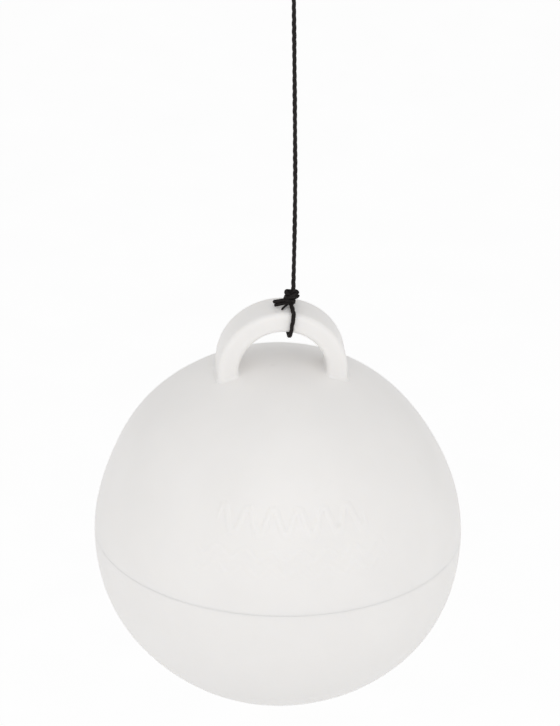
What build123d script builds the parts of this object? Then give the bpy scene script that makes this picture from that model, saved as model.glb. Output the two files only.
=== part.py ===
from build123d import *
import math
import os

# Floating pool light: a hollow milky ball with a hanging loop moulded on top, a light unit that
# twists into a neck in its base, and a thin cord tied round the loop.
# Lengths are in millimetres and angles in degrees. Each piece is drawn about the centre of the
# ball, with +Z up. On saving it is lowered, so that the origin is the crown of the hanging eye.

# Distance within which two places count as the same, and how far a joined piece runs into its wall
NEAR = 0.01
SUNK = 0.4

# Ball
BALL_R = 40.0
WALL = 1.8
INNER_R = BALL_R - WALL
RIM_CHAMFER = 0.15
LAP_HEIGHT = 2.0
LAP_R = INNER_R + 0.9
LAP_GAP = 0.05

# Hanging loop: a half ring of rectangular section on two short legs
LOOP_CENTRE_Z = 39.4
LOOP_OUT_R = 13.9
LOOP_IN_R = 9.4
LOOP_DEPTH = 8.8
LOOP_EDGE_R = 1.0
EYE_Z = LOOP_CENTRE_Z + LOOP_IN_R

# Neck in the base, with three ledges that hold the light unit
BASE_Z = -35.6
BASE_EDGE_R = 0.8
NECK_BORE_R = 16.0
NECK_OUT_R = 17.6
NECK_TOP_Z = -24.6
LEDGE_R = 14.0
LEDGE_Z = -29.4
LEDGE_HEIGHT = 1.6
LEDGE_SPAN = 60.0
LOCKS = 3

# Housing of the light unit
CUP_UNDER_Z = BASE_Z + 0.4
CUP_FLOOR = 2.0
CUP_FLOOR_Z = CUP_UNDER_Z + CUP_FLOOR
CUP_RIM_Z = -11.2
CUP_IN_R = 11.5
CUP_OUT_R = 12.9
CUP_TOP_R = 12.3
CUP_STEP_Z = -16.0
FLANGE_R = 15.7
FLANGE_TOP_Z = -32.6
SEAL_CORD_R = 0.8
SEAL_GROOVE_R = 14.3
COLLAR_BOTTOM_Z = FLANGE_TOP_Z + 2 * SEAL_CORD_R
COLLAR_TOP_Z = -29.8
LUG_R = 15.7
LUG_SPAN = 40.0
LUG_THICK = 1.6
LUG_GAP = 0.2
FLANGE_CHAMFER = 0.3
GRIP_R = 12.2
GRIP_WIDTH = 3.4
GRIP_SPAN = 56.0
GRIP_DEPTH = 1.1
ARROW_R = 12.4
ARROW_WIDTH = 0.9
ARROW_SPAN = 34.0
ARROW_RAISED = 0.25
ARROW_HEAD_HALF = 1.6
ARROW_HEAD_LENGTH = 2.6

# Button, boot and latching switch
NOSE_R = 2.6
NOSE_HOLE_R = 2.8
HEAD_R = 3.2
HEAD_HOLE_R = 3.4
NOSE_HEIGHT = 0.7
NOSE_SET_IN = 0.1
NOSE_CHAMFER = 0.25
BOOT_R = 7.0
BOOT_THICK = 0.5
CLAMP_IN_R = 5.0
CLAMP_THICK = 1.0
SLIDE_GAP = 0.05
SWITCH_SIDE = 7.0
SWITCH_HEIGHT = 3.4
SWITCH_CORNER_R = 0.6
PLUNGER_R = 1.5
PLUNGER_HOLE_R = 1.6
PLUNGER_CHAMFER = 0.3
PLUNGER_TOP_Z = -29.9
SWITCH_HOLE_TOP_Z = -28.5

# Control board, ballast and battery
BALLAST_IN_R = 7.6
BALLAST_OUT_R = 11.3
BALLAST_THICK = 2.4
BOARD_R = 11.2
BOARD_THICK = 1.0
BOARD_Z = -27.8
POST_R = 1.6
POST_ORBIT = 9.4
SCREW_R = 0.7
SCREW_HEAD_R = 1.3
SCREW_HEAD = 0.6
SCREW_LENGTH = 4.0
SCREW_SLOT_WIDTH = 0.35
SCREW_SLOT_DEPTH = 0.25
HOLE_GAP = 0.1
POST_TURN = 30.0
CHIP_LENGTH = 4.0
CHIP_WIDTH = 3.0
CHIP_HEIGHT = 1.3
CHIP_Y = 7.0
CHIP_LEGS = 4
CHIP_CHAMFER = 0.2
LEG_WIDTH = 0.4
LEG_REACH = 0.8
LEG_HEIGHT = 0.5
CELL_R = 10.0
CELL_THICK = 3.2
CELL_EDGE = 0.3
CELL_CAP_R = 8.8
CELL_CAP_STEP = 0.4
TRAY_Z = -25.8
TRAY_FLOOR = 0.8
TRAY_WALL = 0.9
TRAY_OUT_R = 11.3
TRAY_SLOT_WIDTH = 3.4
TRAY_SLOT_IN_R = CELL_R + 0.2
TRAY_FOOT_R = 0.9
SPRING_WIRE_R = 0.2
SPRING_HEIGHT = 1.6
SPRING_R = 4.0
SPRING_TURNS = 3
SPRING_CONE = -60
STRIP_LENGTH = 9.0
STRIP_WIDTH = 4.0
STRIP_THICK = 0.2
LEAD_R = 0.4
LEAD_SPREAD = 0.8
LEAD_SET_IN = 0.2
LEAD_ANGLE = 60.0

# LED board, reflector, lens and the ring that holds it
LED_BOARD_Z = -15.6
LED_SIDE = 5.0
LED_HEIGHT = 1.6
LED_ORBIT = 5.2
LED_COUNT = 4
LED_CORNER_R = 0.4
LED_CUP_R = 1.9
LED_CUP_DEPTH = 0.4
RECEIVER_SIDE = 3.0
RECEIVER_HEIGHT = 1.2
RECEIVER_DOME_R = 1.1
REFLECTOR_IN_R = 9.2
REFLECTOR_THICK = 0.8
REFLECTOR_OUT_R = CUP_IN_R - 0.1
LENS_SEAL_THICK = 0.6
LENS_FLANGE_THICK = 1.0
LENS_WALL = 1.2
LENS_HEIGHT = 5.2
LENS_FOOT_SET_IN = 0.3
RING_OUT_R = 13.7
RING_BORE_R = 12.4
RING_GROOVE_R = 13.0
RING_LIP_R = 11.4
RING_LIP = 0.8
RING_BOTTOM_Z = -15.7
RING_LEDGE_TOP_Z = -14.6
RING_GROOVE_TOP_Z = -13.2
RING_CHAMFER = 0.3
RING_NOTCHES = 12
RING_NOTCH_R = 0.7
RING_NOTCH_ORBIT = RING_OUT_R + 0.35
NUB_R = 12.9
NUB_SPAN = 30.0
NUB_THICK = 1.0

# Cord: the knot sits a little to one side of the loop's crown, so the cord leans back over it
CORD_D = 0.8
KNOT_X = 1.9
KNOT_Y = -0.4
KNOT_Z = 55.4
KNOT_HALF_WIDTH = 1.75
KNOT_HEIGHT = 3.5
SLING_Y = LOOP_DEPTH / 2 + 0.55
SLING_CORNER_R = LOOP_EDGE_R + CORD_D / 2 + 0.1
HANG_ROUTE = [(2.15, -0.2, 55.9), (2.25, 0.0, 74.0), (1.75, 0.0, 96.0), (0.8, 0.0, 127.0)]
SLING_ROUTE = [
    (1.8, -1.0, 54.5),
    (2.1, -SLING_Y, 54.1),
    (1.2, -SLING_Y, 48.1),
    (1.3, SLING_Y, 48.1),
    (2.0, SLING_Y, 54.1),
    (2.0, 0.6, 54.5),
]
LONG_TAIL_ROUTE = [(1.0, -0.6, 54.5), (-0.6, -0.7, 54.3), (-2.0, -0.3, 53.9)]
SHORT_TAIL_ROUTE = [(1.2, -1.0, 54.3), (0.5, -2.0, 54.2), (-0.1, -3.2, 53.9)]
END_KNOT_Z = 128.0
END_KNOT_HALF_WIDTH = 1.3
END_KNOT_HEIGHT = 2.4
END_LOOP_SIDE = [(0.3, 128.6), (2.3, 133.0), (2.5, 137.0), (1.4, 140.0)]


def tube(out_r, in_r, low_z, high_z):
    """Ring of rectangular section round Z; an inner radius of 0 makes a disc."""
    section = Circle(out_r) - Circle(in_r) if in_r else Circle(out_r)
    return Pos(0, 0, low_z) * extrude(section, high_z - low_z)


def turned(outline):
    """Solid of revolution round Z of a closed outline given as radius and height."""
    return revolve(Plane.XZ * make_face(outline), axis=Axis.Z)


def sector(out_r, in_r, low_z, high_z, middle, span):
    """Piece of a ring that spans an angle about its middle direction."""
    section = Pos((out_r + in_r) / 2, (low_z + high_z) / 2) * Rectangle(out_r - in_r, high_z - low_z)
    part_ring = revolve(Plane.XZ * section, axis=Axis.Z, revolution_arc=span)
    return Rot(0, 0, middle - span / 2) * part_ring


def round_the_axis(shape, count, first=0.0):
    """Equal copies of a shape turned round Z."""
    return [Rot(0, 0, first + i * 360.0 / count) * shape for i in range(count)]


def cord_tube(name, route, radii):
    """Tube along straight runs joined by tangent arcs, with its volume compared with its length."""
    path = FilletPolyline(*route, radius=radii)
    start = Plane(origin=path @ 0, z_dir=path % 0)
    piece = sweep(start * Circle(CORD_D / 2), path=path)
    expected = math.pi * (CORD_D / 2) ** 2 * path.length
    print(name, "radii", [round(r, 2) for r in radii], "length", round(path.length, 2),
          "volume", round(piece.volume, 3), "expected", round(expected, 3))
    return piece


def arc_radii(route, share=0.45):
    """Radius of each corner's arc: a share of its shorter run over the tangent of half its turn."""
    points = [Vector(*p) for p in route]
    radii = []
    for before, here, after in zip(points, points[1:], points[2:]):
        coming, going = here - before, after - here
        half_turn = math.radians(coming.get_angle(going) / 2)
        radii.append(share * min(coming.length, going.length) / math.tan(half_turn))
    return radii


def arc_point(radius, height):
    """Point of a circle about the ball's centre at a given height."""
    return (math.sqrt(radius ** 2 - height ** 2), height)


def arc_between(radius, low, high):
    """Arc about the ball's centre between two angles up from the equator."""
    return CenterArc((0, 0), radius, low, high - low)


def angle_at(radius, height):
    """Angle up from the equator at which a circle reaches a height."""
    return math.degrees(math.asin(height / radius))


def hanging_loop():
    """Half ring and its two legs, with rounded edges, cut off at the inside of the shell."""
    def arch(radius):
        legs = Pos(0, LOOP_CENTRE_Z - LOOP_OUT_R / 2) * Rectangle(2 * radius, LOOP_OUT_R)
        return Pos(0, LOOP_CENTRE_Z) * Circle(radius) + legs

    section = arch(LOOP_OUT_R) - arch(LOOP_IN_R)
    loop = extrude(Plane.XZ * section, amount=LOOP_DEPTH / 2, both=True)
    foot_z = LOOP_CENTRE_Z - LOOP_OUT_R
    long_edges = [
        e for e in loop.edges()
        if abs(abs(e.center().Y) - LOOP_DEPTH / 2) < NEAR and e.center().Z > foot_z + NEAR
    ]
    return fillet(long_edges, LOOP_EDGE_R) - Sphere(INNER_R)


def globe_top():
    """Upper half shell with the hanging loop; its rim is rebated for the lower shell's lip."""
    outer = arc_between(BALL_R, angle_at(BALL_R, RIM_CHAMFER), 90)
    inner = arc_between(INNER_R, angle_at(INNER_R, LAP_HEIGHT), 90)
    crown = Line((0, BALL_R), (0, INNER_R))
    rim = Polyline(
        arc_point(INNER_R, LAP_HEIGHT),
        (LAP_R, LAP_HEIGHT),
        (LAP_R, 0),
        (BALL_R - RIM_CHAMFER, 0),
        arc_point(BALL_R, RIM_CHAMFER),
    )
    return turned(outer + crown + inner + rim) + hanging_loop()


def globe_bottom():
    """Lower half shell with its lip, flat base, neck and the three ledges in the neck."""
    base_angle = angle_at(BALL_R, BASE_Z)
    neck_z = -math.sqrt(INNER_R ** 2 - NECK_OUT_R ** 2)
    outer = arc_between(BALL_R, base_angle, -angle_at(BALL_R, RIM_CHAMFER))
    inner = arc_between(INNER_R, angle_at(INNER_R, neck_z), 0)
    neck = Polyline(
        arc_point(BALL_R, BASE_Z),
        (NECK_BORE_R, BASE_Z),
        (NECK_BORE_R, NECK_TOP_Z),
        (NECK_OUT_R, NECK_TOP_Z),
        (NECK_OUT_R, neck_z),
    )
    lip_r = LAP_R - LAP_GAP
    lip_top = LAP_HEIGHT - LAP_GAP
    lip = Polyline(
        (INNER_R, 0),
        (INNER_R, lip_top),
        (lip_r, lip_top),
        (lip_r, 0),
        (BALL_R - RIM_CHAMFER, 0),
        arc_point(BALL_R, -RIM_CHAMFER),
    )
    shell = turned(outer + neck + inner + lip)
    base_edge_r = arc_point(BALL_R, BASE_Z)[0]
    base_edge = [
        e for e in shell.edges().filter_by(GeomType.CIRCLE)
        if abs(e.radius - base_edge_r) < NEAR and abs(e.center().Z - BASE_Z) < NEAR
    ]
    shell = fillet(base_edge, BASE_EDGE_R)
    ledge_out_r = (NECK_BORE_R + NECK_OUT_R) / 2
    ledge = sector(ledge_out_r, LEDGE_R, LEDGE_Z, LEDGE_Z + LEDGE_HEIGHT, 0, LEDGE_SPAN)
    for piece in round_the_axis(ledge, LOCKS, 90):
        shell += piece
    return shell


def turn_arrow():
    """Raised curved arrow that shows which way the light unit turns."""
    out_r, in_r = ARROW_R + ARROW_WIDTH / 2, ARROW_R - ARROW_WIDTH / 2
    low_z = CUP_UNDER_Z - ARROW_RAISED
    shaft = sector(out_r, in_r, low_z, CUP_UNDER_Z + SUNK, 0, ARROW_SPAN)
    head = Polygon((-ARROW_HEAD_HALF, 0), (ARROW_HEAD_HALF, 0), (0, ARROW_HEAD_LENGTH), align=None)
    tip = Pos(ARROW_R, 0, low_z) * extrude(head, ARROW_RAISED + SUNK)
    return shaft + Rot(0, 0, ARROW_SPAN / 2) * tip


def base_housing():
    """Cup of the light unit: flange, seal groove, lugs, lens nubs, button hole, posts and grips."""
    outline = Polyline(
        (HEAD_HOLE_R, CUP_FLOOR_Z),
        (CUP_IN_R, CUP_FLOOR_Z),
        (CUP_IN_R, CUP_RIM_Z),
        (CUP_TOP_R, CUP_RIM_Z),
        (CUP_TOP_R, CUP_STEP_Z),
        (CUP_OUT_R, CUP_STEP_Z),
        (CUP_OUT_R, COLLAR_TOP_Z),
        (FLANGE_R, COLLAR_TOP_Z),
        (FLANGE_R, COLLAR_BOTTOM_Z),
        (SEAL_GROOVE_R, COLLAR_BOTTOM_Z),
        (SEAL_GROOVE_R, FLANGE_TOP_Z),
        (FLANGE_R, FLANGE_TOP_Z),
        (FLANGE_R, CUP_UNDER_Z + FLANGE_CHAMFER),
        (FLANGE_R - FLANGE_CHAMFER, CUP_UNDER_Z),
        (NOSE_HOLE_R, CUP_UNDER_Z),
        (NOSE_HOLE_R, CUP_UNDER_Z + NOSE_HEIGHT),
        (HEAD_HOLE_R, CUP_UNDER_Z + NOSE_HEIGHT),
        close=True,
    )
    cup = turned(outline)
    lug_z = LEDGE_Z + LEDGE_HEIGHT + LUG_GAP
    lug = sector(LUG_R, CUP_OUT_R - SUNK, lug_z, lug_z + LUG_THICK, 0, LUG_SPAN)
    nub_z = RING_LEDGE_TOP_Z + LUG_GAP
    nub = sector(NUB_R, CUP_TOP_R - SUNK, nub_z, nub_z + NUB_THICK, 0, NUB_SPAN)
    post_hole = Pos(POST_ORBIT, 0, BOARD_Z) * Cylinder(SCREW_R, 2 * SCREW_LENGTH)
    post = Pos(POST_ORBIT, 0, 0) * tube(POST_R, 0, CUP_FLOOR_Z - SUNK, BOARD_Z) - post_hole
    for group in (round_the_axis(lug, LOCKS, 90), round_the_axis(nub, LOCKS, 90),
                  round_the_axis(post, LOCKS, POST_TURN)):
        for piece in group:
            cup += piece
    for arrow in round_the_axis(turn_arrow(), 2, 90):
        cup += arrow
    grip_out, grip_in = GRIP_R + GRIP_WIDTH / 2, GRIP_R - GRIP_WIDTH / 2
    for side in (0, 180):
        cup -= sector(grip_out, grip_in, CUP_UNDER_Z - 1, CUP_UNDER_Z + GRIP_DEPTH, side, GRIP_SPAN)
    return cup


def base_seal():
    """O-ring in the housing's groove."""
    height = FLANGE_TOP_Z + SEAL_CORD_R
    return Pos(0, 0, height) * Torus(SEAL_GROOVE_R + SEAL_CORD_R, SEAL_CORD_R)


def power_button():
    """Stepped button: its nose shows in the base, its wider head keeps it in the housing."""
    nose_z = CUP_UNDER_Z + NOSE_SET_IN
    step_z = CUP_UNDER_Z + NOSE_HEIGHT + SLIDE_GAP
    nose = chamfer(tube(NOSE_R, 0, nose_z, step_z).edges().sort_by(Axis.Z)[0], NOSE_CHAMFER)
    return nose + tube(HEAD_R, 0, step_z, CUP_FLOOR_Z - SLIDE_GAP)


def button_boot():
    """Silicone membrane between button and switch plunger."""
    return tube(BOOT_R, 0, CUP_FLOOR_Z, CUP_FLOOR_Z + BOOT_THICK)


def boot_clamp():
    """Ring that presses the membrane's edge on the housing floor."""
    low_z = CUP_FLOOR_Z + BOOT_THICK
    return tube(BOOT_R, CLAMP_IN_R, low_z, low_z + CLAMP_THICK)


def push_switch():
    """Latching switch under the control board, open below for its plunger."""
    body = Pos(0, 0, BOARD_Z - SWITCH_HEIGHT / 2) * Box(SWITCH_SIDE, SWITCH_SIDE, SWITCH_HEIGHT)
    body = fillet(body.edges().filter_by(Axis.Z), SWITCH_CORNER_R)
    return body - tube(PLUNGER_HOLE_R, 0, BOARD_Z - 2 * SWITCH_HEIGHT, SWITCH_HOLE_TOP_Z)


def switch_plunger():
    """Plunger that the button moves through the membrane."""
    low_z = CUP_FLOOR_Z + BOOT_THICK + SLIDE_GAP
    plunger = tube(PLUNGER_R, 0, low_z, PLUNGER_TOP_Z)
    return chamfer(plunger.edges().sort_by(Axis.Z)[0], PLUNGER_CHAMFER)


def control_board():
    """Round board on the housing's posts, with its screw holes."""
    board = tube(BOARD_R, 0, BOARD_Z, BOARD_Z + BOARD_THICK)
    hole = Pos(POST_ORBIT, 0, BOARD_Z) * Cylinder(SCREW_R + HOLE_GAP, 4 * BOARD_THICK)
    for piece in round_the_axis(hole, LOCKS, POST_TURN):
        board -= piece
    return board


def board_screws():
    """Pan-head screws through the board into the posts."""
    head_z = BOARD_Z + BOARD_THICK
    shank = tube(SCREW_R, 0, head_z - SCREW_LENGTH, head_z)
    head = tube(SCREW_HEAD_R, 0, head_z, head_z + SCREW_HEAD)
    slot_size = (3 * SCREW_HEAD_R, SCREW_SLOT_WIDTH, 2 * SCREW_SLOT_DEPTH)
    slot = Pos(0, 0, head_z + SCREW_HEAD) * Box(*slot_size)
    screw = Pos(POST_ORBIT, 0, 0) * (shank + head - slot)
    return Compound(round_the_axis(screw, LOCKS, POST_TURN))


def control_chip():
    """Controller of the light's colours: a flat package with bent legs, under the control board."""
    leg_z = -LEG_HEIGHT / 2
    body = Pos(0, 0, -HOLE_GAP - CHIP_HEIGHT / 2) * Box(CHIP_LENGTH, CHIP_WIDTH, CHIP_HEIGHT)
    body = chamfer(body.faces().sort_by(Axis.Z)[0].edges(), CHIP_CHAMFER)
    pitch = CHIP_LENGTH / CHIP_LEGS
    for i in range(CHIP_LEGS):
        for side in (-1, 1):
            leg_x = (i - (CHIP_LEGS - 1) / 2) * pitch
            leg_y = side * (CHIP_WIDTH + LEG_REACH / 2) / 2
            body += Pos(leg_x, leg_y, leg_z) * Box(LEG_WIDTH, LEG_REACH, LEG_HEIGHT)
    return Pos(0, CHIP_Y, BOARD_Z) * body


def remote_receiver():
    """Infrared receiver in the middle of the LED board: a block with a small dome."""
    top_z = LED_BOARD_Z + BOARD_THICK
    size = (RECEIVER_SIDE, RECEIVER_SIDE, RECEIVER_HEIGHT)
    block = Pos(0, 0, top_z + RECEIVER_HEIGHT / 2) * Box(*size)
    return block + Pos(0, 0, top_z + RECEIVER_HEIGHT) * Sphere(RECEIVER_DOME_R, arc_size1=0)


def ballast_ring():
    """Steel ring on the housing floor, with holes for the posts."""
    ring = tube(BALLAST_OUT_R, BALLAST_IN_R, CUP_FLOOR_Z, CUP_FLOOR_Z + BALLAST_THICK)
    hole = Pos(POST_ORBIT, 0, CUP_FLOOR_Z) * Cylinder(POST_R + HOLE_GAP, 4 * BALLAST_THICK)
    for piece in round_the_axis(hole, LOCKS, POST_TURN):
        ring -= piece
    return ring


def battery_tray():
    """Cup that holds the cells over the control board and carries the LED board on its rim."""
    height = LED_BOARD_Z - TRAY_Z
    tray = tube(TRAY_OUT_R, 0, TRAY_Z, LED_BOARD_Z)
    tray -= tube(TRAY_OUT_R - TRAY_WALL, 0, TRAY_Z + TRAY_FLOOR, LED_BOARD_Z + height)
    slot_deep = 2 * (TRAY_OUT_R - TRAY_SLOT_IN_R)
    slot = Pos(TRAY_OUT_R, 0, TRAY_Z + height / 2) * Box(slot_deep, TRAY_SLOT_WIDTH, 2 * height)
    tray -= Rot(0, 0, LEAD_ANGLE) * slot
    foot = Pos(POST_ORBIT, 0, 0) * tube(TRAY_FOOT_R, 0, BOARD_Z + BOARD_THICK, TRAY_Z + SUNK)
    for piece in round_the_axis(foot, LOCKS):
        tray += piece
    return tray


def coin_cell(low_z):
    """Coin cell: the can with its narrower negative cap below."""
    can = tube(CELL_R, 0, low_z + CELL_CAP_STEP, low_z + CELL_THICK)
    can = fillet(can.edges(), CELL_EDGE)
    return can + tube(CELL_CAP_R, 0, low_z, low_z + CELL_CAP_STEP + SUNK)


def contact_negative():
    """Conical spring that presses the cells upwards."""
    low_z = TRAY_Z + TRAY_FLOOR
    rise = SPRING_HEIGHT - 2 * SPRING_WIRE_R
    helix = Helix(rise / SPRING_TURNS, rise, SPRING_R, cone_angle=SPRING_CONE)
    path = Pos(0, 0, low_z + SPRING_WIRE_R) * helix
    start = Plane(origin=path @ 0, z_dir=path % 0)
    return sweep(start * Circle(SPRING_WIRE_R), path=path, is_frenet=True)


def contact_positive():
    """Sprung strip under the LED board that bears on the upper cell."""
    cell_top = TRAY_Z + TRAY_FLOOR + SPRING_HEIGHT + 2 * CELL_THICK
    rise = LED_BOARD_Z - cell_top
    pad = Pos(0, 0, cell_top + STRIP_THICK / 2) * Box(STRIP_LENGTH, STRIP_WIDTH, STRIP_THICK)
    for side in (-1, 1):
        end_x = side * (STRIP_LENGTH - STRIP_THICK) / 2
        pad += Pos(end_x, 0, cell_top + rise / 2) * Box(STRIP_THICK, STRIP_WIDTH, rise)
    return pad


def led_board():
    """White round board that carries the LEDs."""
    return tube(BOARD_R, 0, LED_BOARD_Z, LED_BOARD_Z + BOARD_THICK)


def leds():
    """Square LED packages round the board, each with a shallow lit cup."""
    height = LED_BOARD_Z + BOARD_THICK
    package = Pos(LED_ORBIT, 0, height + LED_HEIGHT / 2) * Box(LED_SIDE, LED_SIDE, LED_HEIGHT)
    package = fillet(package.edges().filter_by(Axis.Z), LED_CORNER_R)
    cup = Pos(LED_ORBIT, 0, height + LED_HEIGHT) * Cylinder(LED_CUP_R, 2 * LED_CUP_DEPTH)
    return Compound(round_the_axis(package - cup, LED_COUNT))


def led_leads():
    """Two insulated wires from the control board to the LED board, in the tray's slot."""
    low_z, high_z = BOARD_Z + BOARD_THICK, LED_BOARD_Z
    orbit = TRAY_OUT_R - LEAD_R - LEAD_SET_IN
    wires = [
        Pos(orbit, side * LEAD_SPREAD, 0) * tube(LEAD_R, 0, low_z, high_z) for side in (-1, 1)
    ]
    return Compound([Rot(0, 0, LEAD_ANGLE) * wire for wire in wires])


def reflector():
    """White conical dish round the LEDs, up to the lens."""
    low_z, high_z = LED_BOARD_Z + BOARD_THICK, CUP_RIM_Z
    return turned(Polyline(
        (REFLECTOR_IN_R, low_z),
        (REFLECTOR_IN_R + REFLECTOR_THICK, low_z),
        (REFLECTOR_OUT_R, high_z - REFLECTOR_THICK),
        (REFLECTOR_OUT_R, high_z),
        (REFLECTOR_OUT_R - REFLECTOR_THICK, high_z),
        close=True,
    ))


def lens_seal():
    """Flat gasket between the housing's rim and the lens."""
    out_r, in_r = CUP_TOP_R - SLIDE_GAP, CUP_IN_R + SLIDE_GAP
    return tube(out_r, in_r, CUP_RIM_Z, CUP_RIM_Z + LENS_SEAL_THICK)


def lens():
    """Frosted dome of even wall on a flat flange."""
    low_z = CUP_RIM_Z + LENS_SEAL_THICK
    flange_top = low_z + LENS_FLANGE_THICK
    foot_r = RING_LIP_R - LENS_FOOT_SET_IN
    top_z = low_z + LENS_HEIGHT
    rise = top_z - flange_top
    sphere_r = (foot_r ** 2 + rise ** 2) / (2 * rise)
    centre_z = top_z - sphere_r
    cut_z = flange_top - SUNK / 2
    dome = Pos(0, 0, centre_z) * (Sphere(sphere_r) - Sphere(sphere_r - LENS_WALL))
    keep = tube(sphere_r, 0, cut_z, top_z + LENS_WALL)
    inside_r = math.sqrt((sphere_r - LENS_WALL) ** 2 - (cut_z - centre_z) ** 2)
    return (dome & keep) + tube(CUP_TOP_R, inside_r, low_z, flange_top)


def lens_ring():
    """Bayonet ring: its lip holds the lens down and its three ledges hook under the nubs."""
    flange_top = CUP_RIM_Z + LENS_SEAL_THICK + LENS_FLANGE_THICK
    lip_z = flange_top + SLIDE_GAP
    top_z = lip_z + RING_LIP
    ring = turned(Polyline(
        (RING_LIP_R, lip_z),
        (RING_BORE_R, lip_z),
        (RING_BORE_R, RING_GROOVE_TOP_Z),
        (RING_GROOVE_R, RING_GROOVE_TOP_Z),
        (RING_GROOVE_R, RING_BOTTOM_Z),
        (RING_OUT_R, RING_BOTTOM_Z),
        (RING_OUT_R, top_z - RING_CHAMFER),
        (RING_OUT_R - RING_CHAMFER, top_z),
        (RING_LIP_R, top_z),
        close=True,
    ))
    ledge_out_r = (RING_GROOVE_R + RING_OUT_R) / 2
    ledge = sector(ledge_out_r, RING_BORE_R, RING_BOTTOM_Z, RING_LEDGE_TOP_Z, 0, LEDGE_SPAN)
    notch = Pos(RING_NOTCH_ORBIT, 0, 0) * tube(RING_NOTCH_R, 0, 2 * RING_BOTTOM_Z, 0)
    for piece in round_the_axis(ledge, LOCKS, 90):
        ring += piece
    for piece in round_the_axis(notch, RING_NOTCHES, 180 / RING_NOTCHES):
        ring -= piece
    return ring


def hang_cord():
    """Cord from the knot on the loop up to its tied end loop, pulled straight by the weight."""
    return cord_tube("hang_cord", HANG_ROUTE, arc_radii(HANG_ROUTE))


def cord_sling():
    """The cord's turn round the loop's crown, its corners as tight as the loop's edges."""
    corners = [SLING_CORNER_R] * (len(SLING_ROUTE) - 2)
    return cord_tube("cord_sling", SLING_ROUTE, corners)


def knot_body(place, half_width, height):
    """Closed solid of a knot's outer shape: a core and three stacked turns that narrow downwards."""
    wrap_r = 0.55 * CORD_D
    step = height / 2 - wrap_r
    knot = Cylinder(0.6 * half_width, height - wrap_r)
    for level, narrowing in ((1, 1.0), (0, 0.9), (-1, 0.8)):
        knot += Pos(0, 0, level * step) * Torus(narrowing * half_width - wrap_r, wrap_r)
    return Pos(*place) * knot


def cord_knot():
    """Knot on top of the loop."""
    return knot_body((KNOT_X, KNOT_Y, KNOT_Z), KNOT_HALF_WIDTH, KNOT_HEIGHT)


def cord_tails():
    """The knot's two cut tails: a long one to the side and a short one to the front."""
    long_tail = cord_tube("long tail", LONG_TAIL_ROUTE, arc_radii(LONG_TAIL_ROUTE))
    short_tail = cord_tube("short tail", SHORT_TAIL_ROUTE, arc_radii(SHORT_TAIL_ROUTE))
    return Compound([long_tail, short_tail])


def end_knot():
    """Knot that closes the loop at the cord's upper end."""
    place = (HANG_ROUTE[-1][0], 0, END_KNOT_Z)
    return knot_body(place, END_KNOT_HALF_WIDTH, END_KNOT_HEIGHT)


def end_loop_route():
    """Teardrop: up one side from the knot, over the top and down the other side."""
    middle_x = HANG_ROUTE[-1][0]
    up = [(middle_x + x, 0.0, z) for x, z in END_LOOP_SIDE]
    down = [(middle_x - x, 0.0, z) for x, z in reversed(END_LOOP_SIDE)]
    return up + down


def end_loop():
    """Loop of the cord at its upper end, to hang it by."""
    route = end_loop_route()
    return cord_tube("end_loop", route, arc_radii(route))


CELL_Z = TRAY_Z + TRAY_FLOOR + SPRING_HEIGHT

PIECES = {
    "globe_top": globe_top,
    "globe_bottom": globe_bottom,
    "base_housing": base_housing,
    "base_seal": base_seal,
    "power_button": power_button,
    "button_boot": button_boot,
    "boot_clamp": boot_clamp,
    "push_switch": push_switch,
    "switch_plunger": switch_plunger,
    "control_board": control_board,
    "board_screws": board_screws,
    "control_chip": control_chip,
    "remote_receiver": remote_receiver,
    "ballast_ring": ballast_ring,
    "battery_tray": battery_tray,
    "cell_lower": lambda: coin_cell(CELL_Z),
    "cell_upper": lambda: coin_cell(CELL_Z + CELL_THICK),
    "contact_negative": contact_negative,
    "contact_positive": contact_positive,
    "led_board": led_board,
    "leds": leds,
    "led_leads": led_leads,
    "reflector": reflector,
    "lens_seal": lens_seal,
    "lens": lens,
    "lens_ring": lens_ring,
    "hang_cord": hang_cord,
    "cord_sling": cord_sling,
    "cord_knot": cord_knot,
    "cord_tails": cord_tails,
    "end_loop": end_loop,
    "end_knot": end_knot,
}

os.makedirs("parts", exist_ok=True)
for name, make in PIECES.items():
    export_step(Pos(0, 0, -EYE_Z) * make(), f"parts/{name}.step")
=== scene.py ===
"""Floating pool light: a milky ball with a moulded loop, hanging from a thin twisted cord.

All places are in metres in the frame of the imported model, whose origin is the crown of the
hanging eye. The ball's own sizes are read from the frame.
"""

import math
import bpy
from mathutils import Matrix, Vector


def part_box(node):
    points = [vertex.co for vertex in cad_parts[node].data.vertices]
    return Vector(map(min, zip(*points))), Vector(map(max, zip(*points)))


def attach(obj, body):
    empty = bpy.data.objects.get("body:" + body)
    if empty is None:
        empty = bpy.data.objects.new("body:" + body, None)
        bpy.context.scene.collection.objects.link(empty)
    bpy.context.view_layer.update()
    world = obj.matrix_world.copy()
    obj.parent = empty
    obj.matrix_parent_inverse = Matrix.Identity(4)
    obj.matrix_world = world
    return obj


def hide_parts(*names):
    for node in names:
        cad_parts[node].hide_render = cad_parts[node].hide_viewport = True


bl_info = {
    "name": "Floating pool light",
    "version": (1, 0, 0),
    "blender": (4, 5, 0),
    "location": "3D View > Sidebar > Pool light",
    "description": "Builds the shells, cord, light unit and studio of a floating pool light",
    "category": "Add Mesh",
}

import bmesh
import bpy
import numpy as np
from bpy.props import FloatProperty, FloatVectorProperty, IntProperty, PointerProperty
from mathutils import Matrix, Vector

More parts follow.
